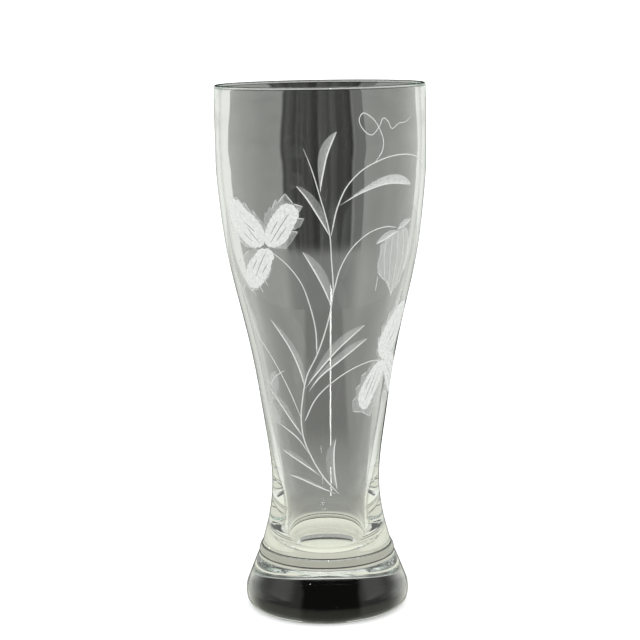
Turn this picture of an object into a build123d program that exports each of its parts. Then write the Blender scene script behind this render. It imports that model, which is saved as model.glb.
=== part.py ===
"""A tall footed pint glass: a blown bowl fused onto a heavy pressed foot.

Millimetres, +Z up. The origin is the centre of the ring that the glass rests on.
Both pieces are bodies of revolution about Z, and meet face to face at the fused seam.
"""

from build123d import *
from math import pi
import os

# Overall sizes
HEIGHT = 210.0
RIM_R = 41.2
WAIST_R = 21.65
FOOT_R = 32.9

# Heights that divide the glass
HEEL_Z = 6.2
SEAM_Z = 22.1
BEAD_TOP_Z = 25.4
CAVITY_FLOOR_Z = 23.6
WAIST_Z = 51.0
SHOULDER_Z = 172.0

# Foot: a solid truncated cone with a rounded heel and a shallow hollow underneath
CONE_START_Z = 9.6
CONE_START_R = 32.35
SEAM_R = 27.45
REST_INNER_R = 24.5
REST_OUTER_R = 28.6
HOLLOW_DEPTH = 1.6

# Bowl: radii of the outside and wall thicknesses at the same heights
BEAD_TOP_R = 26.25
BEAD_PROUD = 0.3
BELLY = [
    # height, outside radius, wall
    (76.0, 24.25, 2.6),
    (100.0, 27.95, 2.3),
    (124.0, 33.15, 2.1),
    (148.0, 38.2, 1.95),
    (SHOULDER_Z, 40.85, 1.8),
]
WAIST_WALL = 4.1
RIM_WALL = 1.6
CAVITY_R = 16.4
CAVITY_FLARE_R = 16.45
CAVITY_FLARE_Z = 39.0
FLOOR_CORNER_R = 5.5
RIM_FLAT = 0.04

PINT_ML = 473.2
MM3_PER_ML = 1000.0


def foot_outline():
    """The foot's half section: floor ring, rounded heel, cone, seam disc and the hollow underneath."""
    heel = Spline(
        (REST_OUTER_R, 0.0),
        (FOOT_R, HEEL_Z),
        (CONE_START_R, CONE_START_Z),
        tangents=[(1.0, 0.12), (SEAM_R - CONE_START_R, SEAM_Z - CONE_START_Z)],
    )
    cone = Line(heel @ 1, (SEAM_R, SEAM_Z))
    seam = Line(cone @ 1, (0.0, SEAM_Z))
    axis = Line(seam @ 1, (0.0, HOLLOW_DEPTH))
    hollow = Spline(axis @ 1, (REST_INNER_R, 0.0), tangents=[(1.0, 0.0), (1.0, -0.35)])
    Line(hollow @ 1, heel @ 0)


def bowl_outside():
    """The bowl's outer half section, closed along the axis, with the bead left by the fused seam."""
    bead_mid = ((SEAM_R + BEAD_TOP_R) / 2 + BEAD_PROUD, (SEAM_Z + BEAD_TOP_Z) / 2)
    bead = ThreePointArc((SEAM_R, SEAM_Z), bead_mid, (BEAD_TOP_R, BEAD_TOP_Z))
    side = Spline(
        bead @ 1,
        (WAIST_R, WAIST_Z),
        *[(radius, height) for height, radius, _ in BELLY],
        (RIM_R, HEIGHT),
        tangents=[(-0.34, 1.0), (0.0, 1.0)],
    )
    mouth = Line(side @ 1, (0.0, HEIGHT))
    axis = Line(mouth @ 1, (0.0, SEAM_Z))
    Line(axis @ 1, bead @ 0)


def cavity_outline():
    """The space that holds the drink, closed along the axis, with a flat floor and a round corner."""
    floor = Line((0.0, CAVITY_FLOOR_Z), (CAVITY_R - FLOOR_CORNER_R, CAVITY_FLOOR_Z))
    corner = JernArc(floor @ 1, (1.0, 0.0), FLOOR_CORNER_R, 90)
    side = Spline(
        corner @ 1,
        (CAVITY_FLARE_R, CAVITY_FLARE_Z),
        (WAIST_R - WAIST_WALL, WAIST_Z),
        *[(radius - wall, height) for height, radius, wall in BELLY],
        (RIM_R - RIM_WALL, HEIGHT),
        tangents=[(0.0, 1.0), (0.0, 1.0)],
    )
    mouth = Line(side @ 1, (0.0, HEIGHT))
    Line(mouth @ 1, floor @ 0)


with BuildPart() as foot:
    with BuildSketch(Plane.XZ):
        with BuildLine():
            foot_outline()
        make_face()
    revolve(axis=Axis.Z)

with BuildPart() as cavity:
    with BuildSketch(Plane.XZ):
        with BuildLine():
            cavity_outline()
        make_face()
    revolve(axis=Axis.Z)

with BuildPart() as bowl:
    with BuildSketch(Plane.XZ):
        with BuildLine():
            bowl_outside()
        make_face()
    revolve(axis=Axis.Z)
    add(cavity.part, mode=Mode.SUBTRACT)
    # The rim is fire-polished to a full round.
    rim_face = bowl.faces().sort_by(Axis.Z)[-1]
    fillet(rim_face.edges(), radius=(RIM_WALL - RIM_FLAT) / 2)

foot.part.label = "foot"
bowl.part.label = "bowl"

os.makedirs("parts", exist_ok=True)
for piece in (foot, bowl):
    export_step(piece.part, f"parts/{piece.part.label}.step")

brimful_ml = cavity.part.volume / MM3_PER_ML
mouth_area = pi * (RIM_R - RIM_WALL) ** 2
headroom = (brimful_ml - PINT_ML) * MM3_PER_ML / mouth_area
print(f"brimful {brimful_ml:.0f} ml; a pint stands {headroom:.1f} mm below the rim")
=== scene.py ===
"""Looks of the tall pint glass: two clear glass pieces and the ground flower spray on the bowl.

Metres, +Z up, in the CAD frame. The glass stands on z = 0 and is turned about Z.
Places on the bowl are given as (turn, height): degrees round the axis from the front,
positive to the right, and millimetres above the floor.
"""

import bmesh
import bpy
import numpy as np
from math import cos, hypot, pi, radians, sin, tan
from mathutils import Matrix, Vector
from mathutils.geometry import delaunay_2d_cdt


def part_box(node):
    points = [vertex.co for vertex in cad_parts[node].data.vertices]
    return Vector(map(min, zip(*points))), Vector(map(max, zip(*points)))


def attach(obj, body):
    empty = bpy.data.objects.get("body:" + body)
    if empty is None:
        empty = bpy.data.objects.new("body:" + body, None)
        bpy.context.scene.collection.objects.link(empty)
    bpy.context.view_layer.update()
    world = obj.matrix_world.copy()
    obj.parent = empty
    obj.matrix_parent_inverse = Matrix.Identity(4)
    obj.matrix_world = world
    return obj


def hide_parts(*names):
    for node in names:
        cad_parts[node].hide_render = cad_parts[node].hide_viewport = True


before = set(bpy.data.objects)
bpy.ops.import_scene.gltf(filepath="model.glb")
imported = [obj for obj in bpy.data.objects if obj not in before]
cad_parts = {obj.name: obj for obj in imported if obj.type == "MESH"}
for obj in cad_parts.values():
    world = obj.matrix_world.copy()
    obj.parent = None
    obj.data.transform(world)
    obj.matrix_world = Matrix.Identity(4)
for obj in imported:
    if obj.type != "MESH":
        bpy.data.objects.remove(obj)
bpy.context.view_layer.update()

MM = 0.001
DEGREES = 180 / pi           # in a radian

# Glass mesh
SEGMENTS = 216
PROFILE_STEP = 0.1 * MM      # spacing of the fine outline before rings are chosen
CORNER_SOFTNESS = 0.3 * MM   # how far sharp corners of the outline are rounded
RING_STEP = 1.25 * MM        # widest spacing of rings on a straight wall
RING_TURN = radians(7)       # most that the outline turns between two rings
BEAD = 3.3 * MM              # height of the bead above the fused seam
CREASE_DEPTH = 0.12 * MM     # of the creases below and above the bead
CREASE_WIDTH = 0.22 * MM
HOLLOW_TOP = 2 * MM          # the hollow under the foot lies below this height
INSIDE = 20 * MM             # radius that the outer wall never comes in to
WALL = 24 * MM               # radius between the cavity and the outer wall, up to the bead

# Glass looks
GLASS_TINT = (0.995, 1.0, 0.997)
# painted shade in the glass: grey on the bead above the seam, and dark in the creases beside it
BEAD_SHADE = 0.75
CREASE_SHADE = 0.12
CREST_SHADE = 0.4             # painted shade on the top of the lip
NECK_SHADE = 0.6              # painted shade in a thin line under the lip
LIP_HAZE = 0.25              # how milky the lip is
OUTLINE_SHADE_UPPER = 0.75         # painted shade where the wall turns away, on the upper half
OUTLINE_SHADE_LOWER = 0.3          # the same painted shade on the lower half
OUTLINE_SHADE_RIGHT = 0.12         # the same painted shade at the right of the waist
HAZE = (0.73, 0.74, 0.72, 1)
GROUND_WHITE = (0.68, 0.69, 0.67, 1)
PAINTED_GLOW = 0.25             # how much of the ground glass's body is a painted glow that shines by itself

# Table and room as the glass shows them. The table's places are in metres, the room's in degrees
FLOOR_HALF = 0.7
UNDER_FOOT = 0.9             # tone of the table in the middle of the foot
TABLE_RINGS = [(0.018, 0.03, 0.7), (0.034, 0.039, 0.6), (0.054, 0.068, 0.28)]   # from, to, tone farther out
STRIP_HALF = 0.053           # half the width of the grey strip on the table, beside the glass
STRIP_SPREAD = 0.108         # how fast it widens with the distance
STRIP_BEND = 0.52            # how far behind the glass it starts to widen faster
FAR_SPREAD = 0.5             # how much faster
FRONT_DARK = 0.05            # how bright table and room are on the camera's side
FLANK_TONE = 0.4             # and straight to the left and right
GLINT = 16                   # brightness of the narrow strip light mirrored in the table
GLINT_SIDE = 10.3            # degrees that it lies to the camera's right
GLINT_HALF = 0.9             # degrees from its middle to its edge
GLINT_AWAY = 0.19            # how far from the glass its middle lies
GLINT_LENGTH = 0.094
LAMPS = [(13, 32), (-20, 44), (4, 58)]   # small lamps before the glass: degrees to the right and up
LAMP = 40                    # how bright they are
LAMP_RADIUS = radians(1.3)
SKY = 1.5                    # light on matt surfaces, from all sides

# Camera: where it stands, and how it looks down
CAMERA_PLACE = Vector((-0.0013, -0.6787, 0.2337))
CAMERA_PITCH = radians(9.81)
CAMERA_ROLL = radians(0.9)
CAMERA_LENS = 97.2


# ---------------------------------------------------------------- outline of the glass

def half_section(node):
    """A CAD node's points (radius, height) in the half plane y = 0, x > 0, each with its normals (x, z)."""
    tiny = 1e-6
    rows = {}
    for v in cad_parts[node].data.vertices:
        if abs(v.co.y) < tiny and v.co.x > tiny:
            rows.setdefault((round(v.co.x, 6), round(v.co.z, 6)), []).append((v.normal.x, v.normal.z))
    return rows


def smooth_pieces(points, step):
    """Fine polylines between one point and the next, with slopes taken from the points each side."""
    p = np.array(points, float)
    gaps = np.hypot(*np.diff(p, axis=0).T)
    slope = np.empty_like(p)
    chord = np.diff(p, axis=0) / gaps[:, None]
    slope[0], slope[-1] = chord[0], chord[-1]
    share = (gaps[1:] / (gaps[1:] + gaps[:-1]))[:, None]
    slope[1:-1] = chord[:-1] * share + chord[1:] * (1 - share)
    pieces = []
    for i, gap in enumerate(gaps):
        s = np.arange(0, 1, min(1, step / gap))[:, None]
        h00, h10 = 2 * s**3 - 3 * s**2 + 1, s**3 - 2 * s**2 + s
        h01, h11 = 3 * s**2 - 2 * s**3, s**3 - s**2
        pieces.append(h00 * p[i] + h10 * gap * slope[i] + h01 * p[i + 1] + h11 * gap * slope[i + 1])
    return pieces


def smooth_chain(points, step=PROFILE_STEP):
    """A fine smooth polyline through points."""
    return np.concatenate([*smooth_pieces(points, step), np.array(points[-1:], float)])


def soften(path):
    """The path with its corners rounded. It starts and ends on the axis, so it is mirrored there first."""
    steps = int(3 * CORNER_SOFTNESS / PROFILE_STEP)
    kernel = np.exp(-0.5 * (np.arange(-steps, steps + 1) * PROFILE_STEP / CORNER_SOFTNESS) ** 2)
    kernel /= kernel.sum()
    mirror = np.array([-1, 1])
    full = np.concatenate([path[steps:0:-1] * mirror, path, path[-2:-steps - 2:-1] * mirror])
    return np.stack([np.convolve(full[:, k], kernel, "valid") for k in (0, 1)], axis=1)


def even(path, step):
    """The polyline sampled at even steps along its length."""
    run = np.concatenate([[0], np.cumsum(np.hypot(*np.diff(path, axis=0).T))])
    at = np.linspace(0, run[-1], int(run[-1] / step) + 1)
    return np.stack([np.interp(at, run, path[:, k]) for k in (0, 1)], axis=1)


def choose_rings(path):
    """Ring points along the path, closer together where it turns."""
    d = np.diff(path, axis=0)
    heading = np.unwrap(np.arctan2(d[:, 1], d[:, 0]))
    turn = np.abs(np.diff(heading, append=heading[-1]))
    cost = np.concatenate([[0], np.cumsum(np.hypot(*d.T) / RING_STEP + turn / RING_TURN)])
    at = np.linspace(0, cost[-1], int(cost[-1]) + 1)
    return np.stack([np.interp(at, cost, path[:, k]) for k in (0, 1)], axis=1)


def glass_outline():
    """(foot rings, bowl rings): each from the axis, round the outside, and back to the axis."""
    foot, bowl = half_section("foot"), half_section("bowl")
    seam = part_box("foot")[1].z
    low = {p: ns for p, ns in foot.items() if p[1] < HOLLOW_TOP}
    under = sorted(p for p, ns in low.items() if any(n[1] < -0.5 and n[0] < 0.02 for n in ns))
    resting = [p for p in under if p[1] < 1e-5]
    hollow = [(0.0, max(p[1] for p in under))] + [p for p in under if p not in resting] + resting[:1]
    outside = sorted(
        {p for rows in (foot, bowl) for p, ns in rows.items() if any(n[0] > 0.03 for n in ns)},
        key=lambda p: p[1],
    )
    inside = sorted((p for p, ns in bowl.items() if any(n[0] < -0.03 for n in ns)), key=lambda p: -p[1])
    corner, bottom = inside[-1]
    floor = [(corner * share, bottom) for share in (0.9, 0.6, 0.3, 0)]
    path = np.concatenate([smooth_chain(hollow), smooth_chain(outside + inside + floor)])
    path = soften(even(path, PROFILE_STEP))
    on_outside = (path[:, 0] > INSIDE) & (np.arange(len(path)) < path[:, 1].argmax())
    for height in (seam, seam + BEAD):
        crease = CREASE_DEPTH * np.exp(-((path[:, 1] - height) / CREASE_WIDTH) ** 2)
        path[on_outside, 0] -= crease[on_outside]
    cut = next(i for i in range(len(path)) if path[i, 1] >= seam and path[i, 0] > INSIDE)
    joint = np.array([np.interp(seam, path[cut - 1:cut + 1, 1], path[cut - 1:cut + 1, 0]), seam])
    lower, upper = choose_rings(path[:cut]), choose_rings(path[cut:])
    lower[0, 0] = upper[-1, 0] = 0
    return np.vstack([lower, joint, (0, seam)]), np.vstack([(0, seam), joint, upper])


foot_rings, bowl_rings = glass_outline()
outer = np.vstack([foot_rings[foot_rings[:, 0] > WALL], bowl_rings[2:bowl_rings[:, 1].argmax()]])


# ---------------------------------------------------------------- mesh

def lathe(name, rings):
    """A closed solid of revolution whose first and last rings are points on the axis."""
    turns = np.arange(SEGMENTS) * 2 * pi / SEGMENTS
    body = rings[1:-1]
    co = np.empty((len(body), SEGMENTS, 3))
    co[..., 0] = body[:, :1] * np.cos(turns)
    co[..., 1] = body[:, :1] * np.sin(turns)
    co[..., 2] = body[:, 1:]
    verts = np.vstack([co.reshape(-1, 3), (0, 0, rings[0, 1]), (0, 0, rings[-1, 1])])
    start, end = len(verts) - 2, len(verts) - 1
    nxt = np.roll(np.arange(SEGMENTS), -1)
    i = np.arange(SEGMENTS)
    faces = [(start, int(nxt[k]), int(k)) for k in i]
    for row in range(len(body) - 1):
        a, b = row * SEGMENTS, (row + 1) * SEGMENTS
        faces += [(a + int(k), a + int(nxt[k]), b + int(nxt[k]), b + int(k)) for k in i]
    top = (len(body) - 1) * SEGMENTS
    faces += [(top + int(k), top + int(nxt[k]), end) for k in i]
    mesh = bpy.data.meshes.new(name)
    mesh.from_pydata(verts.tolist(), [], faces)
    mesh.polygons.foreach_set("use_smooth", [True] * len(faces))
    mesh.update()
    piece = bpy.data.objects.new(name, mesh)
    bpy.context.scene.collection.objects.link(piece)
    return piece


# ---------------------------------------------------------------- materials

class Graph:
    """Short calls for building a node tree out of numbers and sockets."""

    def __init__(self, tree):
        self.nodes, self.links = tree.nodes, tree.links
        self.nodes.clear()

    def put(self, socket, value):
        if isinstance(value, bpy.types.NodeSocket):
            self.links.new(value, socket)
        else:
            socket.default_value = value

    def node(self, kind, settings=None, **inputs):
        made = self.nodes.new(kind)
        for key, value in (settings or {}).items():
            setattr(made, key, value)
        for key, value in inputs.items():
            self.put(made.inputs[key.replace("_", " ")], value)
        return made

    def math(self, operation, *values):
        made = self.nodes.new("ShaderNodeMath")
        made.operation = operation
        for socket, value in zip(made.inputs, values):
            self.put(socket, value)
        return made.outputs[0]

    def product(self, *values):
        made = values[0]
        for value in values[1:]:
            made = self.math("MULTIPLY", made, value)
        return made

    def size(self, value):
        """The value without its sign."""
        return self.math("ABSOLUTE", value)

    def split(self, vector):
        """The X, Y and Z parts of a vector."""
        return self.node("ShaderNodeSeparateXYZ", Vector=vector).outputs

    def place(self):
        """The X, Y and Z of the place on the object, which are the frame's."""
        return self.split(self.node("ShaderNodeTexCoord").outputs["Object"])

    def rise(self, value, low, high):
        """0 where value is at low, 1 where it is at high, and a smooth change between."""
        made = self.nodes.new("ShaderNodeMapRange")
        made.interpolation_type = "SMOOTHSTEP"
        for socket, x in zip(made.inputs, (value, low, high)):
            self.put(socket, x)
        return made.outputs[0]

    def near(self, value, middle, half, soft):
        """1 where value is within half of middle, and 0 where it is soft farther off."""
        return self.rise(self.size(self.math("SUBTRACT", value, middle)), half + soft, half)

    def colour(self, tone, *shares):
        """A colour whose red, green and blue are shares of a tone."""
        parts = {part: self.product(tone, share) for part, share in zip(("Red", "Green", "Blue"), shares)}
        return self.node("ShaderNodeCombineColor", **parts).outputs[0]

    def through_glass(self):
        """1 for rays that clear glass has bent or mirrored, 0 for the camera and light on matt surfaces."""
        path = self.node("ShaderNodeLightPath").outputs
        bent = self.math("MAXIMUM", path["Is Glossy Ray"], path["Is Transmission Ray"])
        return self.product(bent, self.math("LESS_THAN", path["Diffuse Depth"], 0.5))

    def mix_colour(self, share, a, b):
        made = self.node("ShaderNodeMix", {"data_type": "RGBA"})
        for k, x in ((0, share), (6, a), (7, b)):
            self.put(made.inputs[k], x)
        return made.outputs[2]

    def mix(self, share, a, b):
        """Shader a where share is 0 and shader b where it is 1."""
        made = self.nodes.new("ShaderNodeMixShader")
        for socket, x in zip(made.inputs, (share, a.outputs[0], b.outputs[0])):
            self.put(socket, x)
        return made

    def surface(self, shader):
        out = self.nodes.new("ShaderNodeOutputMaterial")
        self.links.new(shader.outputs[0], out.inputs["Surface"])

    def blend(self, share, a, b):
        """a where share is 0 and b where it is 1."""
        made = self.nodes.new("ShaderNodeMix")
        for k, x in ((0, share), (2, a), (3, b)):
            self.put(made.inputs[k], x)
        return made.outputs[0]


def new_material(name):
    """A new material and the graph of its nodes, still empty."""
    material = bpy.data.materials.new(name)
    material.use_nodes = True
    return material, Graph(material.node_tree)


def bead_painted_shade(g, place, height):
    """Painted shade: grey on the bead above the seam and dark in the crease at each side of it, on the outer
    wall only.
    """
    seam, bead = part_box("foot")[1].z / MM, BEAD / MM
    across = g.math("ADD", g.math("POWER", place["X"], 2), g.math("POWER", place["Y"], 2))
    wall = g.math("GREATER_THAN", across, WALL ** 2)
    tone = g.blend(g.product(wall, g.near(height, seam + bead / 2, 1.6, 0.2)), 1.0, BEAD_SHADE)
    for line, half in ((seam, 0.154), (seam + bead, 0.112)):
        tone = g.blend(g.product(wall, g.near(height, line, half, half)), tone, CREASE_SHADE)
    return tone


def outline_painted_shade(g, place, height):
    """Painted shade, darker where the wall turns away: most at the right of the waist, less high up, none at
    the lip.
    """
    lower = g.rise(height, 130, 118)
    tone = g.blend(lower, OUTLINE_SHADE_UPPER, OUTLINE_SHADE_LOWER)
    beside = g.size(g.math("DIVIDE", place["Y"], place["X"]))
    rightward = g.rise(place["X"], 0, 15 * MM)
    right = g.product(rightward, g.rise(beside, 0.34, 0.22), lower, g.rise(height, 50, 72))
    tone = g.blend(right, tone, OUTLINE_SHADE_RIGHT)
    tone = g.blend(g.rise(height, 204, 207), tone, 1.0)
    start = g.blend(right, 0.82, 0.72)
    facing = g.node("ShaderNodeLayerWeight", Blend=0.5).outputs["Facing"]
    return g.blend(g.rise(facing, start, g.math("ADD", start, 0.09)), 1.0, tone)


def clear_glass(name):
    """Clear glass: its tint holds painted shade on the seam bead, the lip and the outline, and the lip is a
    little milky.
    """
    material, g = new_material(name)
    place = g.place()
    height = g.math("DIVIDE", place["Z"], MM)
    below_rim = g.math("SUBTRACT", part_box("bowl")[1].z / MM, height)
    # painted shade: dark on the crest of the lip and in a thin line under it
    tone = g.blend(g.rise(below_rim, 0.5, 0.35), bead_painted_shade(g, place, height), CREST_SHADE)
    tone = g.blend(g.near(below_rim, 1.2, 0.1, 0.1), tone, NECK_SHADE)
    # painted shade where the wall turns away at the outline
    tone = g.product(tone, outline_painted_shade(g, place, height))
    glass = g.node("ShaderNodeBsdfGlass", Color=g.colour(tone, *GLASS_TINT), IOR=1.5, Roughness=0.0)
    lip = g.product(g.rise(below_rim, 1.1, 0.9), g.rise(below_rim, 0.4, 0.5), LIP_HAZE)
    g.surface(g.mix(lip, glass, g.node("ShaderNodeBsdfDiffuse", Color=HAZE)))
    return material


def fused_seam():
    """The joint inside the glass: light crosses it straight, as the two pieces are one melt."""
    material, g = new_material("fused_seam")
    g.surface(g.node("ShaderNodeBsdfTransparent"))
    return material


def ground_glass():
    """Wheel-ground glass: a white grain that hides what is behind it as much as the frost attribute says.

    A little of its light is a painted glow of its own, so that it stays pale from inside and behind.
    """
    material, g = new_material("ground_glass")
    frost = g.node("ShaderNodeAttribute", {"attribute_name": "frost"}).outputs["Fac"]
    place = g.node("ShaderNodeTexCoord").outputs["Object"]
    grain = g.node("ShaderNodeTexNoise", Vector=place, Scale=5200.0, Detail=2.0).outputs["Fac"]
    scratch = g.node("ShaderNodeTexNoise", Vector=place, Scale=900.0, Detail=3.0).outputs["Fac"]
    share = g.product(frost, g.blend(g.rise(grain, 0.3, 0.7), 0.78, 1.18),
                      g.blend(g.rise(scratch, 0.3, 0.7), 0.88, 1.1))
    share = g.math("MINIMUM", share, 0.97)
    bump = g.node("ShaderNodeBump", Strength=0.35, Distance=0.00004, Height=grain)
    matt = g.node("ShaderNodeBsdfDiffuse", Color=GROUND_WHITE, Normal=bump.outputs[0])
    glow = g.node("ShaderNodeBsdfTranslucent", Color=GROUND_WHITE, Normal=bump.outputs[0])
    # painted glow: light that the ground glass gives off by itself
    lit = g.node("ShaderNodeEmission", Color=(0.98, 1, 0.98, 1), Strength=0.85)
    body = g.mix(PAINTED_GLOW, g.mix(0.12, matt, glow), lit)
    g.surface(g.mix(share, g.node("ShaderNodeBsdfTransparent"), body))
    return material


def seam_faces(piece, seam_material, z):
    """Gives the flat joint face its own material and a crisp edge."""
    mesh = piece.data
    mesh.materials.append(seam_material)
    slot = len(mesh.materials) - 1
    flat = [p.index for p in mesh.polygons if abs(p.normal.z) > 0.999 and abs(p.center.z - z) < 1e-6]
    edge_use = {}
    for i in flat:
        mesh.polygons[i].material_index = slot
        mesh.polygons[i].use_smooth = False
        for key in mesh.polygons[i].edge_keys:
            edge_use[key] = edge_use.get(key, 0) + 1
    rim = {key for key, n in edge_use.items() if n == 1}
    for e in mesh.edges:
        if tuple(sorted(e.vertices)) in rim:
            e.use_edge_sharp = True


def make_glass():
    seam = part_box("foot")[1].z
    seam_look = fused_seam()
    for node, rings, slot in (("foot", foot_rings, "foot_glass"), ("bowl", bowl_rings, "clear_glass")):
        piece = lathe(node + "_glass", rings)
        piece.data.materials.append(clear_glass(node + "_metal"))
        seam_faces(piece, seam_look, seam)
        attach(piece, "root")
        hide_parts(node)


# ---------------------------------------------------------------- engraving

PROUD = 0.03        # mm that the ground surface stands out of the wall
EDGE_LIFT = 0.01    # mm that its edges do
EDGE_DEPTH = 0.02   # mm that the edges of a patch go in
GRID = 1.1          # mm between inner points of a patch


def radius_at(height):
    return np.interp(height * MM, outer[:, 1], outer[:, 0]) / MM


def per_turn(height):
    """Millimetres along the wall for one degree of turn."""
    return radius_at(height) * pi / 180


def on_wall(turn, height, lift):
    """The place in the frame of a spot on the bowl's outside, lift millimetres out along its normal."""
    slope = radius_at(height + 0.5) - radius_at(height - 0.5)
    out = lift / hypot(1, slope)
    r = radius_at(height) + out
    return (r * sin(radians(turn)) * MM, -r * cos(radians(turn)) * MM, (height - out * slope) * MM)


def wall_scale(points):
    """What turns (turn, height) into millimetres on the wall near the middle of points."""
    return np.array([per_turn(np.mean([p[1] for p in points])), 1])


def curve(points, step=0.7):
    """Places along a smooth line through points (turn, height), about step millimetres apart."""
    scale = wall_scale(points)
    return even(smooth_chain(np.array(points) * scale, step / 5), step) / scale


def petal_loop(points, step=0.4):
    """A closed smooth line through points, scalloped outwards."""
    scale = wall_scale(points)
    p = np.array(points) * scale
    pieces = smooth_pieces(np.vstack([p[-2:], p, p[:3]]), step / 5)
    loop = even(np.concatenate(pieces[2:2 + len(p)] + [p[:1]]), step)[:-1]
    ahead = np.roll(loop, -1, axis=0) - np.roll(loop, 1, axis=0)
    ahead /= np.hypot(*ahead.T)[:, None]
    area = np.sum(loop[:, 0] * np.roll(loop[:, 1], -1) - loop[:, 1] * np.roll(loop[:, 0], -1))
    out = np.stack([ahead[:, 1], -ahead[:, 0]], axis=1) * np.sign(area)
    bumps = round(len(loop) * step / SCALLOP)
    bulge = SCALLOP_HEIGHT * np.abs(np.sin(pi * bumps * np.arange(len(loop)) / len(loop)))
    return (loop + out * bulge[:, None]) / scale


def straight_loop(points, step=0.9):
    """A closed line of straight edges between points."""
    scale = wall_scale(points)
    p = np.array(points)
    out = []
    for a, b in zip(p, np.roll(p, -1, axis=0)):
        n = max(1, int(hypot(*((b - a) * scale)) / step))
        out += [a + (b - a) * k / n for k in range(n)]
    return np.array(out)


def slit(start, end, half=0.15):
    """A narrow closed lens, half millimetres wide each side of the line from start to end."""
    scale = wall_scale([start, end])
    a, b = np.array(start) * scale, np.array(end) * scale
    left = np.array([a[1] - b[1], b[0] - a[0]]) / hypot(*(b - a))
    s = np.linspace(0, 1, 18)[:, None]
    line, wide = a + (b - a) * s, left * half * np.sin(pi * (0.03 + 0.94 * s)) ** 0.5
    return np.vstack([line + wide, (line - wide)[::-1]]) / scale


def moved(points, centre, to, size):
    """Points of a motif drawn again round another centre on the wall, size times as large."""
    stretch = np.array([per_turn(centre[1]) / per_turn(to[1]), 1]) * size
    return [tuple(np.array(to) + (np.array(p) - centre) * stretch) for p in points]


def sideways(path):
    """For each place of a path, what one millimetre to its left adds to (turn, height)."""
    scale = np.stack([per_turn(path[:, 1]), np.ones(len(path))], axis=1)
    ahead = np.gradient(path, axis=0) * scale
    ahead /= np.hypot(*ahead.T)[:, None]
    return np.stack([-ahead[:, 1], ahead[:, 0]], axis=1) / scale


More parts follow.
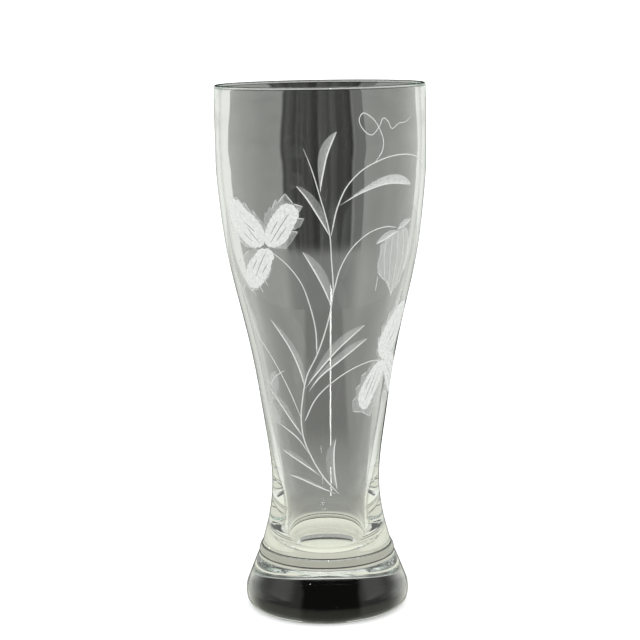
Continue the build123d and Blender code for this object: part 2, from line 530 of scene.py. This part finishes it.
class Cut:
    """Ground marks that make up one piece. Each is a thin closed lens, half in the wall."""

    def __init__(self):
        self.verts, self.faces, self.frost = [], [], []

    def add(self, turn, height, lift, frost):
        self.verts.append(on_wall(turn, height, lift))
        self.frost.append(frost)
        return len(self.verts) - 1

    def strip(self, path, columns):
        """columns gives, for each place of the path, [(mm to the left, depth, frost), ...] across it."""
        left = sideways(path)
        rows = []
        for k, place in enumerate(path):
            front, back = [], []
            across = columns(k / (len(path) - 1))
            for j, (offset, depth, frost) in enumerate(across):
                turn, height = place + left[k] * offset
                edge = j in (0, len(across) - 1)
                front.append(self.add(turn, height, EDGE_LIFT if edge else PROUD, frost))
                back.append(front[-1] if edge else self.add(turn, height, -depth, frost))
            rows.append((front, back))
        for (f0, b0), (f1, b1) in zip(rows, rows[1:]):
            for j in range(len(f0) - 1):
                self.faces.append((f0[j], f1[j], f1[j + 1], f0[j + 1]))
                self.faces.append((b0[j], b0[j + 1], b1[j + 1], b1[j]))
        for (front, back), turned in ((rows[0], False), (rows[-1], True)):
            ring = front + back[-2:0:-1]
            self.faces.append(tuple(ring[::-1] if turned else ring))

    def line(self, points, width, start=1.0, end=0.5, frost=0.75, depth=0.12):
        """A narrow groove whose width goes from start to end, as shares of width."""
        def columns(s):
            half = width / 2 * (start + (end - start) * s) * min(1, 0.3 + 12 * min(s, 1 - s))
            return [(-half, 0, frost), (0, depth, frost), (half, 0, frost)]
        self.strip(curve(points), columns)

    def leaf(self, points, width, side, peak=1.4, body=(0.09, 0.1), bright=0.9, far=0.25, edge=0.62):
        """A blade with one deep bright edge along points, from base to tip, and a faint body beside it."""
        def columns(s):
            full = max(0.12, width * sin(pi * (0.01 + 0.98 * s) ** peak) ** 0.7)
            deep = min(edge * min(1, 0.3 + 4 * min(s, 1 - s)), full * 0.6)
            faint = body[0] + (body[1] - body[0]) * s
            spots = [
                (0, 0, bright), (deep * 0.4, 0.3, bright), (deep * 0.8, 0.2, bright * 0.7),
                (deep, 0.1, faint * 1.4), ((deep + full) / 2, 0.08, faint),
                (max(deep, full - 0.35) + 0.02, 0.07, faint), (full, 0, far),
            ]
            spots = [(offset * side, depth, frost) for offset, depth, frost in spots]
            return spots if side > 0 else spots[::-1]
        self.strip(curve(points, 0.5), columns)

    def patch(self, outline, holes=(), depth=0.15, frost=0.8, rim=None):
        """A thin slab that fills an outline, open at the holes."""
        scale = wall_scale(outline)
        loops = [np.array(loop, float) * scale for loop in (outline, *holes)]
        flat = np.vstack(loops)
        edges, count = [], 0
        for loop in loops:
            n = len(loop)
            edges += [(count + k, count + (k + 1) % n) for k in range(n)]
            count += n

        def inside(spot):
            return within(spot, loops[0]) and not any(within(spot, hole) for hole in loops[1:])

        low, high = loops[0].min(0), loops[0].max(0)
        grid = [
            (x, y) for x in np.arange(low[0], high[0], GRID) for y in np.arange(low[1], high[1], GRID)
            if inside((x, y)) and np.hypot(*(flat - (x, y)).T).min() > 0.4 * GRID
        ]
        points = [Vector(p) for p in np.vstack([flat, grid] if grid else [flat])]
        made, _, triangles = delaunay_2d_cdt(points, edges, [], 1, 1e-5, False)[:3]
        made = np.array([tuple(p) for p in made])
        kept = [tuple(t) for t in triangles if inside(made[list(t)].mean(axis=0))]
        sides = {(a, b) for t in kept for a, b in zip(t, t[1:] + t[:1])}
        border = [(a, b) for a, b in sides if (b, a) not in sides]
        on_border = {k for pair in border for k in pair}
        front, back = {}, {}
        for k in {k for t in kept for k in t}:
            turn, height = made[k] / scale
            if k in on_border:
                front[k] = self.add(turn, height, EDGE_LIFT, rim or frost)
                back[k] = self.add(turn, height, -EDGE_DEPTH, rim or frost)
            else:
                front[k] = self.add(turn, height, PROUD, frost)
                back[k] = self.add(turn, height, -depth, frost)
        for t in kept:
            self.faces.append(tuple(front[k] for k in t))
            self.faces.append(tuple(back[k] for k in reversed(t)))
        for a, b in border:
            self.faces.append((front[b], front[a], back[a], back[b]))

    def finish(self, name):
        mesh = bpy.data.meshes.new(name)
        mesh.from_pydata(self.verts, [], self.faces)
        mesh.attributes.new("frost", "FLOAT", "POINT").data.foreach_set("value", self.frost)
        b = bmesh.new()
        b.from_mesh(mesh)
        bmesh.ops.recalc_face_normals(b, faces=b.faces)
        b.to_mesh(mesh)
        b.free()
        mesh.polygons.foreach_set("use_smooth", [True] * len(mesh.polygons))
        mesh.materials.append(ground)
        piece = bpy.data.objects.new(name, mesh)
        bpy.context.scene.collection.objects.link(piece)
        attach(piece, "root")


def within(point, loop):
    """True if point is inside the closed loop."""
    x, y = point
    a, b = loop, np.roll(loop, -1, axis=0)
    crosses = (a[:, 1] > y) != (b[:, 1] > y)
    with np.errstate(divide="ignore", invalid="ignore"):
        at = a[:, 0] + (y - a[:, 1]) * (b[:, 0] - a[:, 0]) / (b[:, 1] - a[:, 1])
    return bool(np.count_nonzero(crosses & (x < at)) % 2)


STEMS = {
    # name: (width, share of it at the end, places from the root to the tip)
    "stem_main": (0.65, 0.55, [(13.5, 50.5), (-2, 57.5), (-14, 66), (-20.5, 73.5), (-21.5, 82), (-19, 89.5),
                               (-14, 99), (-5.5, 107.5), (2.5, 120), (6, 131.5), (5, 146.5), (4.3, 154.5),
                               (-1, 170), (-5.5, 181), (-9, 187.5)]),
    "stem_right": (0.55, 0.7, [(4.9, 154.8), (8.6, 166), (13, 172.8), (22, 179.2), (29, 181.6), (38, 183.4),
                               (48, 183.9), (56.5, 183.3), (64, 182), (76, 177), (86, 168), (92, 158.5)]),
    "stem_bud": (0.5, 0.8, [(6.6, 133), (10.4, 142.4), (18.4, 151), (28, 155.6), (39, 157), (46, 156.2)]),
    "stem_left": (0.5, 0.7, [(-22, 82.5), (-33, 95.4), (-46.5, 107.5), (-54.5, 113), (-60, 125), (-68, 136),
                             (-80, 142), (-93, 138), (-101, 124), (-105, 104), (-102, 83)]),
    "stem_left_flower": (0.5, 0.8, [(-5.2, 108), (-5.5, 118), (-8.5, 127.5), (-13.5, 137), (-21.5, 144),
                                    (-32, 149.3)]),
    "stem_right_flower": (0.5, 0.9, [(-18, 80.7), (-6.8, 90.3), (6, 96.4), (25, 102), (39, 103.7),
                                     (50, 103.4)]),
    "tendril_top": (0.42, 0.8, [(29, 181.6), (34, 186.4), (34.5, 189), (32, 194), (27.5, 198.2), (22, 200),
                                (20.3, 198.2), (22.5, 194), (27, 191.9), (32, 195.1), (34.5, 198), (37, 197),
                                (40, 193.9), (45.3, 195.7), (50.5, 196), (55.4, 197.8)]),
    "tendril_left": (0.35, 0.7, [(-33.6, 100.7), (-40, 98.9), (-46.3, 96.6), (-51.3, 94.1), (-56, 96.8)]),
}

LEAVES = {
    # name: (width, side that the body lies on, how near the tip it is widest, frost of the body at base
    # and tip, bright edge from base to tip)
    "leaf_top": (3.4, 1, 1.5, (0.15, 0.23), [(-0.7, 171.2), (1.3, 178.3), (3.3, 184.5), (8.2, 193.4)]),
    "leaf_upper_left": (3.1, -1, 1.2, (0.13, 0.13), [(3.7, 155), (-3.5, 163.5), (-8.5, 169.2),
                                                     (-13.2, 173.5)]),
    "leaf_mid_left": (3.6, -1, 1.1, (0.13, 0.15), [(4.2, 128.5), (-0.8, 135.6), (-8, 144.6), (-11.2, 148.5)]),
    "leaf_upper_right": (3.7, 1, 2.0, (0.3, 0.48), [(9.5, 166.2), (22, 170.5), (35.5, 173), (56, 172)]),
    "leaf_left": (2.5, -1, 1.0, (0.12, 0.13), [(-16.2, 94.1), (-20.4, 102.2), (-25.4, 109.1),
                                               (-38.6, 121.2)]),
    "leaf_lower_left": (2.6, -1, 1.5, (0.1, 0.14), [(-21.2, 74), (-30.7, 79.4), (-41.6, 86), (-52.5, 91.8)]),
    "leaf_thin": (0.9, -1, 1.2, (0.1, 0.1), [(-16, 67), (-26.8, 73), (-48.9, 79)]),
    "leaf_low_left": (2.3, -1, 1.8, (0.1, 0.14), [(-4.2, 57.7), (-16.8, 61), (-29, 63.8), (-46.7, 67.3)]),
    "leaf_bottom": (1.3, -1, 1.3, (0.1, 0.1), [(11, 50.5), (-9.3, 53.6), (-23.7, 55.8), (-40.6, 57.5)]),
    "leaf_low_upright": (3.4, 1, 1.2, (0.11, 0.1), [(12, 52.5), (9.5, 61), (9.2, 69), (10.2, 73)]),
    "leaf_right_upper": (3.3, 1, 1.7, (0.12, 0.18), [(-15.3, 94.3), (-3.7, 101.2), (11.9, 110.3),
                                                     (29.5, 118.7)]),
    "leaf_right_lower": (2.9, 1, 1.7, (0.12, 0.18), [(-12.9, 93), (-2.4, 98.9), (12.2, 104.9),
                                                     (32.8, 113.1)]),
}

FLOWERS = {
    # name: [(petal outline, clear slits, toothed frame round it, bright edges of the frame), ...]
    "flower_left": [
        (
            [(-33, 151), (-33.5, 154), (-31.5, 157.7), (-28.5, 161), (-24.5, 164.3), (-20, 166.7),
             (-15.5, 166.3), (-12.6, 163.5), (-14.7, 159.8), (-17.7, 156), (-21, 152.7), (-25, 151),
             (-29.5, 150.4)],
            [((-30.5, 151.5), (-17.8, 163.3)), ((-29.7, 155), (-24.5, 160.5)),
             ((-26.3, 152.5), (-19.5, 158.3))],
            [(-33.5, 155.5), (-33.5, 159.5), (-32.2, 163.5), (-31, 163), (-29, 166), (-27.7, 165),
             (-25, 168.5), (-23.7, 167.5), (-19.5, 170.8), (-15, 167), (-10, 166), (-14, 161.6),
             (-9.5, 161.4), (-11.5, 158.5), (-17, 156.5), (-13, 156.4), (-17, 152.5), (-20.5, 149.8),
             (-31.5, 149.8)],
            [((-23.7, 167.5), (-19.5, 170.8)), ((-19.5, 170.8), (-15, 167)), ((-15, 167), (-10, 166)),
             ((-14, 161.6), (-9.5, 161.4)), ((-17, 156.5), (-13, 156.4)), ((-27.7, 165), (-25, 168.5))],
        ),
        (
            [(-36.3, 150.5), (-34.2, 152.5), (-33.8, 155.5), (-36.5, 159), (-41, 162), (-46, 164),
             (-49.5, 166.3), (-54, 167.3), (-59, 167.2), (-62, 163), (-60, 158), (-55.5, 154.7),
             (-50.5, 152), (-45.5, 150), (-40, 149.8)],
            [((-37.5, 151.3), (-46.5, 157.5)), ((-40.5, 155.8), (-47.5, 159)),
             ((-42.5, 151.8), (-49.5, 154.8))],
            [(-33.5, 156), (-34, 159.5), (-38, 161.8), (-40.3, 164), (-42.5, 163.5), (-46.5, 166.8),
             (-48.5, 166.3), (-53, 168.4), (-59.5, 168.2), (-64, 161.5), (-61, 155.2), (-56, 152.8),
             (-51, 150.2), (-47, 149.2), (-40.5, 149.2)],
            [((-46.5, 166.8), (-42.5, 163.5)), ((-40.3, 164), (-38, 161.8)), ((-53, 168.4), (-48.5, 166.3)),
             ((-61, 155.2), (-56, 152.8)), ((-56, 152.8), (-51, 150.2)), ((-51, 150.2), (-47, 149.2))],
        ),
        (
            [(-34.5, 149.3), (-31.5, 149.3), (-29, 146.5), (-30.8, 144.5), (-32.5, 141.5), (-35.5, 138.8),
             (-38.5, 136.5), (-43, 134.3), (-48, 133.3), (-53, 134), (-53.7, 137), (-51.5, 140.5),
             (-47.5, 143.8), (-43, 146), (-38, 149)],
            [((-33.5, 148.5), (-44.5, 138)), ((-41, 145), (-46.5, 140.5)), ((-33.8, 143.5), (-38.5, 139.8))],
            [(-40.5, 149.5), (-47, 148.2), (-52, 146), (-59, 143.3), (-62.5, 141), (-60, 139.3), (-61.5, 136),
             (-57, 133.5), (-51, 131.8), (-44, 133), (-34.5, 138), (-31, 142)],
            [((-37.5, 137), (-35.5, 134.7)), ((-42.5, 134.5), (-40.5, 131.8)), ((-51, 133), (-47.5, 130.3)),
             ((-57, 134), (-62, 131.5)), ((-59, 143.3), (-52, 146)), ((-52, 146), (-47, 148.2))],
        ),
    ],
    "flower_right": [
        (
            [(50.5, 104.5), (46, 107.5), (45.7, 111), (48.2, 114.7), (52, 118.3), (57, 122), (64, 125),
             (72, 125.5), (78, 122), (77, 116), (71, 110.5), (63, 106), (55, 103.5)],
            [((54, 106), (69, 119)), ((53, 111), (61, 118)), ((61, 107.5), (71, 115))],
            [(45, 105.5), (43.5, 108), (45, 109.5), (43.5, 113), (46.5, 114), (46, 117.5), (50.5, 118.5),
             (51, 122.5), (56, 123.5), (58, 127.5), (64, 126.8), (69, 130), (73, 127.5), (79, 128),
             (80.5, 122), (84, 119), (79, 114), (80, 109), (72, 108), (69, 103), (60, 104)],
            [((45, 109.5), (43.5, 113)), ((46.5, 114), (46, 117.5)), ((50.5, 118.5), (51, 122.5)),
             ((56, 123.5), (58, 127.5)), ((64, 126.8), (69, 130)), ((79, 114), (80, 109))],
        ),
        (
            [(50, 103), (44.5, 101.7), (39.5, 98.8), (35, 95.3), (31.5, 92), (30.5, 88.5), (33.5, 85.3),
             (38.5, 84.3), (42.5, 86), (46, 89.3), (50.5, 93), (55, 97), (56.5, 100.5), (54, 103)],
            [((48, 100), (36.8, 87.8)), ((51.5, 98.5), (42.5, 89.5)), ((42.5, 98.3), (35.5, 91.8))],
            [(47, 104), (40, 102.5), (36, 99.5), (31, 98), (31.5, 95), (26.5, 93), (28, 90), (24, 88),
             (25.5, 84), (35, 83.3), (45, 80.8), (47, 85), (51, 84.5), (55, 89.5), (58.5, 92.5), (60, 98)],
            [((25.5, 84), (35, 83.3)), ((35, 83.3), (45, 80.8)), ((45, 80.8), (47, 85)),
             ((51, 84.5), (57.5, 91.8)), ((28, 90), (24, 88)), ((31.5, 95), (26.5, 93)),
             ((36, 99.5), (31, 98))],
        ),
        (
            [(55.5, 102.5), (60, 105), (66, 105), (74, 103), (82, 99.5), (87, 94.5), (86, 89.5), (79, 88),
             (71, 90), (63.5, 94), (57.5, 98.5)],
            [((59, 101), (80, 92.5)), ((66, 102), (78, 98)), ((64.5, 96.5), (75, 91.5))],
            [(62, 105.8), (70, 107), (76, 105), (82, 104.5), (85, 100.5), (91, 99), (89.5, 94), (93, 90),
             (87, 87), (85, 83), (79, 85.5), (74, 84), (70.5, 88), (65, 88.5), (62, 93)],
            [((70, 107), (76, 105)), ((82, 104.5), (85, 100.5)), ((91, 99), (89.5, 94)),
             ((85, 83), (79, 85.5)), ((74, 84), (70.5, 88))],
        ),
    ],
}

BUD = [(34.5, 150), (34.8, 146), (33.6, 143), (34.5, 139.8), (37.5, 137.8), (41, 136), (45.5, 132.6),
       (49, 129.3), (51.8, 132.4), (55, 133.5), (57, 137.2), (60.3, 140.5), (61, 145.5), (60, 150.5),
       (57.5, 154), (54, 156), (46, 155), (39, 152.3)]
BUD_FLUTES = [
    [(38.8, 151.8), (38.2, 146), (39.3, 141), (41, 136.3)],
    [(43.2, 153), (43.2, 146.5), (44, 139.5), (45.7, 133)],
    [(47.6, 154.5), (48.8, 147), (49, 139), (49, 130)],
    [(52, 155.3), (54.3, 148), (53.8, 140), (51.8, 132.8)],
    [(56, 155), (59, 149), (58.6, 142.5), (56.5, 137.3)],
]
BUD_TIPS = [
    [(34.5, 139.8), (37.5, 137.6), (41, 136)], [(41, 136), (43.5, 135.2), (45.5, 132.6)],
    [(45.5, 132.6), (47.5, 131.7), (49, 129.3)], [(49, 129.3), (50, 131.5), (51.8, 132.4)],
    [(51.8, 132.4), (55, 133.6), (57, 137.2)], [(35, 138), (34.6, 132.2)],
]
BUD_CAP = {
    # name: (width, side of the body, bright edge)
    "cap_upper": (2.6, 1, [(47, 155.3), (54.5, 156.6), (59.3, 158.4)]),
    "cap_lower": (2.6, -1, [(47.2, 154.6), (41.6, 153), (37.3, 151.7), (31.8, 150.6)]),
}

# Motifs that are drawn again out of sight of the front: (centre of the first, centre of the copy, size)
SIDE_FLOWER = ((-33.4, 150.4), (-102, 82), 0.6)
SIDE_BUD = ((46.5, 156), (92, 158), 0.95)

SCALLOP = 2.4          # mm between the scallops of a petal
SCALLOP_HEIGHT = 0.32  # mm


def as_drawn(points):
    """Leaves a motif where its points are."""
    return points


def make_flower(name, petals, place=as_drawn):
    """Petals with clear slits, each on a toothed patch of fainter grain with bright edges."""
    for number, (outline, slits, frame_points, bright) in enumerate(petals, 1):
        loop = petal_loop(place(outline))
        blade = Cut()
        blade.patch(loop, [slit(*place(pair)) for pair in slits], depth=0.25, frost=0.78, rim=0.9)
        blade.finish(f"{name}_petal_{number}")
        fringe = Cut()
        fringe.patch(straight_loop(place(frame_points)), [loop], depth=0.06, frost=0.13, rim=0.26)
        fringe.finish(f"{name}_frame_{number}")
        edges = Cut()
        for pair in bright:
            edges.line(place(pair), 0.38, 1.0, 0.7, 0.7)
        edges.finish(f"{name}_frame_edges_{number}")


def make_bud(name, place=as_drawn):
    """A hanging bud: a fluted body under a cap of two blades."""
    body = Cut()
    body.patch(straight_loop(place(BUD)), depth=0.12, frost=0.24, rim=0.4)
    body.finish(name + "_body")
    flutes = Cut()
    for points in BUD_FLUTES:
        flutes.line(place(points), 0.6, 1.0, 0.5, 0.5)
    for points in BUD_TIPS:
        flutes.line(place(points), 0.42, 1.0, 0.8, 0.6)
    flutes.finish(name + "_flutes")
    for part, (width, side, points) in BUD_CAP.items():
        cap = Cut()
        cap.leaf(place(points), width, side, 1.0, (0.3, 0.35), far=0.6)
        cap.finish(f"{name}_{part}")


def make_engraving():
    for name, (width, end, points) in STEMS.items():
        stem = Cut()
        stem.line(points, width, 1.0, end)
        stem.finish(name)
    for name, (width, side, peak, body, points) in LEAVES.items():
        leaf = Cut()
        leaf.leaf(points, width, side, peak, body)
        leaf.finish(name)
    for name, petals in FLOWERS.items():
        make_flower(name, petals)
    make_flower("flower_side", FLOWERS["flower_left"], lambda points: moved(points, *SIDE_FLOWER))
    make_bud("bud")
    make_bud("bud_side", lambda points: moved(points, *SIDE_BUD))


# ---------------------------------------------------------------- stage

def make_floor():
    """A pale matt floor. What glass bends or mirrors sees instead a glowing table: its grey, with light and
    shade painted in.
    """
    mesh = bpy.data.meshes.new("floor")
    s = FLOOR_HALF
    mesh.from_pydata([(-s, -s, 0), (s, -s, 0), (s, s, 0), (-s, s, 0)], [], [(0, 1, 2, 3)])
    floor = bpy.data.objects.new("floor", mesh)
    bpy.context.scene.collection.objects.link(floor)
    material, g = new_material("floor")
    # painted light and shade: the table glows with its tones for rays that glass bends or mirrors
    seen = g.node("ShaderNodeEmission", Color=table_light_and_shade(g))
    matt = g.node("ShaderNodeBsdfDiffuse", Color=(0.95, 0.95, 0.95, 1))
    g.surface(g.mix(g.through_glass(), matt, seen))
    material.cycles.emission_sampling = "NONE"
    mesh.materials.append(material)


def table_light_and_shade(g):
    """The table as glass shows it, light and shade painted in: cream close by and grey farther out, with pale
    sides and a dark front.
    """
    place = g.place()
    x, y = place["X"], place["Y"]
    away = g.math("SQRT", g.math("ADD", g.product(x, x), g.product(y, y)))
    share, beyond = strip_share(g, x, y)
    beside = table_beside(g, share, beyond, away)
    tone = g.blend(beside, table_strip(g, x, y, away), table_outside(g, share, y))
    forward = g.math("DIVIDE", g.product(y, -1), away)
    flank = g.product(g.rise(forward, -0.3, 0.0), g.rise(away, 0.09, 0.14))
    tone = g.blend(flank, tone, FLANK_TONE)
    front = g.product(g.rise(forward, 0.0, 0.4), g.rise(away, 0.035, 0.08))
    tone = g.blend(front, tone, FRONT_DARK)
    blue = g.blend(g.rise(away, 0.04, 0.09), 0.85, 0.95)
    return g.colour(g.blend(glint(g, x, y, away), tone, GLINT), 1, 1.005, blue)


def table_strip(g, x, y, away):
    """Rings of grey round the foot, and a streak of painted shade down the middle far behind."""
    tone = UNDER_FOOT
    for start, end, farther in TABLE_RINGS:
        tone = g.blend(g.rise(away, start, end), tone, farther)
    # painted shade: a dark streak on the table, far behind the glass
    streak = g.product(g.near(x, 0.002, 0.019, 0.007), g.rise(y, 0.15, 0.3))
    return g.blend(streak, tone, 0.19)


def strip_share(g, x, y):
    """How far out a place is, as a share of the strip's half width, and how far it is past the bend."""
    beyond = g.math("MAXIMUM", g.math("SUBTRACT", y, STRIP_BEND), 0)
    width = g.math("ADD", STRIP_HALF, g.product(STRIP_SPREAD, g.size(y)))
    width = g.math("ADD", width, g.product(beyond, FAR_SPREAD))
    return g.math("DIVIDE", g.size(g.math("ADD", x, g.product(y, 0.03))), width), beyond


def table_beside(g, share, beyond, away):
    """1 beside the grey strip, whose edge is softer past its bend."""
    edge = g.blend(g.rise(beyond, 0, 0.03), 1.06, 1.3)
    return g.product(g.rise(share, 0.98, edge), g.rise(away, 0.045, 0.06))


def table_outside(g, share, y):
    """How bright the table is beside the strip."""
    return g.blend(g.rise(y, 0.09, 0.18), 0.85, g.blend(g.rise(share, 1.3, 1.7), 0.42, 0.68))


def glint(g, x, y, away):
    """1 in the mirror image of a narrow strip light, on the camera's side of the table."""
    aside = g.math("SUBTRACT", g.math("DIVIDE", x, g.product(y, -1)), tan(radians(GLINT_SIDE)))
    across = g.rise(g.size(aside), radians(GLINT_HALF * 1.3), radians(GLINT_HALF))
    along = g.math("LESS_THAN", g.size(g.math("SUBTRACT", away, GLINT_AWAY)), GLINT_LENGTH / 2)
    return g.product(across, along, g.math("LESS_THAN", y, 0))


def room(g):
    """How bright the studio is in each direction that a ray leaving the glass can go.

    Behind the glass hangs a grey sheet with a dark opening in it, between pale walls. The room is dark on
    the camera's side, and its ceiling is pale. Below the horizon, the table hides most of it.
    """
    direction = g.node("ShaderNodeTexCoord").outputs["Generated"]
    split = g.split(direction)
    high = g.product(g.math("ARCSINE", split["Z"]), DEGREES)
    side = g.product(g.math("ARCTAN2", split["X"], g.size(split["Y"])), DEGREES)
    above = g.rise(high, 1, 8)
    front = g.math("LESS_THAN", split["Y"], 0)

    value = back_wall(g, direction, high, side, above)
    value = g.blend(g.rise(g.size(side), 66, 88), value, FLANK_TONE)
    forward = g.rise(split["Y"], 0.0, -0.4)
    value = g.blend(front, value, g.blend(forward, FLANK_TONE, FRONT_DARK))

    round_side = g.product(g.rise(g.size(side), 45, 65), g.rise(high, 8, 16))
    front_ceiling = g.math("MAXIMUM", g.rise(high, 34, 42), round_side)
    turned = g.rise(split["Y"], 0.3, -0.1)
    value = g.blend(g.blend(turned, g.rise(high, 27, 31), front_ceiling), value, 0.95)
    value = dark_patches(g, high, side, g.math("SUBTRACT", 1, front), value)
    for turn, height in LAMPS:
        value = g.blend(lamp_at(g, split, turn, height), value, LAMP)
    return value


def back_wall(g, direction, high, side, above):
    """The mottled sheet, the streaked opening in it, and the pale walls beside it."""
    mottle = g.node("ShaderNodeTexNoise", Vector=direction, Scale=14.0, Detail=3.0).outputs["Fac"]
    sheet = g.product(g.blend(g.rise(mottle, 0.25, 0.75), 0.25, 0.31),
                      g.blend(g.rise(g.size(side), 3, 9), 1.0, 0.78))
    value = g.blend(above, sheet, 0.022)

    left, right = g.blend(above, -1.93, -15.5), g.blend(above, 1.8, 12.5)
    soft = g.blend(above, 0.12, 1.5)
    other = g.product(soft, -1)
    inside = g.product(g.rise(g.math("SUBTRACT", side, left), other, soft),
                       g.rise(g.math("SUBTRACT", right, side), other, soft))
    noise = g.node("ShaderNodeTexNoise", {"noise_dimensions": "1D"}, W=side, Scale=2.2, Detail=2.0)
    streaks = g.blend(g.rise(noise.outputs["Fac"], 0.3, 0.7), 0.03, 0.085)
    value = g.blend(inside, value, g.blend(above, streaks, 0.0005))
    fold = g.product(g.rise(side, 2.5, 2.4), g.rise(side, 1.75, 1.9), g.rise(high, 4, 1))
    value = g.blend(fold, value, 0.155)
    over_table = g.blend(g.rise(g.size(side), 2.6, 1.15), 0.3, 0.2)
    value = g.blend(g.rise(high, -7.7, -8.2), value, over_table)

    off = g.size(g.math("SUBTRACT", side, 1.8))
    walls = g.blend(above, g.rise(off, 10.3, 10.9), g.product(g.rise(off, 34, 68), 0.65))
    return g.blend(walls, value, 0.82)


def dark_patches(g, high, side, behind, value):
    """Dark things under the ceiling behind: an oval one in a grey frame, and one far out at each side."""
    across = g.math("POWER", g.math("DIVIDE", side, 12), 2)
    up = g.math("POWER", g.math("DIVIDE", g.math("SUBTRACT", high, 53), 6.5), 2)
    oval = g.rise(g.math("ADD", across, up), 1.25, 0.8)
    around = g.product(g.rise(g.size(side), 18, 14), g.rise(high, 32, 36), g.rise(high, 68, 62))
    value = g.blend(g.product(around, behind), value, g.blend(oval, 0.5, 0.12))
    corner = g.product(g.rise(g.size(side), 50, 56), g.rise(high, 28, 31), g.rise(high, 47, 43))
    return g.blend(g.product(corner, behind), value, 0.1)


def lamp_at(g, split, turn, height):
    """1 inside a small round lamp before the glass, turn degrees to the right and height degrees up."""
    turn, height = radians(turn), radians(height)
    aim = (sin(turn) * cos(height), -cos(turn) * cos(height), sin(height))
    parts = [g.product(split[axis], share) for axis, share in zip("XYZ", aim)]
    together = g.math("ADD", g.math("ADD", parts[0], parts[1]), parts[2])
    return g.rise(together, cos(LAMP_RADIUS * 1.3), cos(LAMP_RADIUS))


def make_world():
    """White to the camera and as light on matt surfaces; the room to whatever glass bends or mirrors."""
    world = bpy.data.worlds.new("studio")
    bpy.context.scene.world = world
    world.use_nodes = True
    g = Graph(world.node_tree)
    seen = g.colour(room(g), 1, 1.005, 0.96)
    back = g.node("ShaderNodeBackground", Color=g.mix_colour(g.through_glass(), (SKY, SKY, SKY, 1), seen))
    out = g.node("ShaderNodeOutputWorld")
    g.links.new(back.outputs[0], out.inputs["Surface"])


def make_camera():
    camera = bpy.data.cameras.new("camera")
    camera.lens = CAMERA_LENS
    camera.sensor_width = 36
    camera.clip_start, camera.clip_end = 0.01, 50
    piece = bpy.data.objects.new("camera", camera)
    piece.location = CAMERA_PLACE
    look = Vector((0, cos(CAMERA_PITCH), -sin(CAMERA_PITCH)))
    turn = look.to_track_quat("-Z", "Y").to_matrix().to_4x4()
    piece.rotation_euler = (turn @ Matrix.Rotation(-CAMERA_ROLL, 4, "Z")).to_euler()
    bpy.context.scene.collection.objects.link(piece)
    bpy.context.scene.camera = piece


ground = ground_glass()
make_glass()
make_engraving()
make_floor()
make_world()
make_camera()

scene = bpy.context.scene
scene.view_settings.view_transform = "Standard"
scene.cycles.max_bounces = 96
scene.cycles.transmission_bounces = 96
scene.cycles.glossy_bounces = 96
scene.cycles.transparent_max_bounces = 32
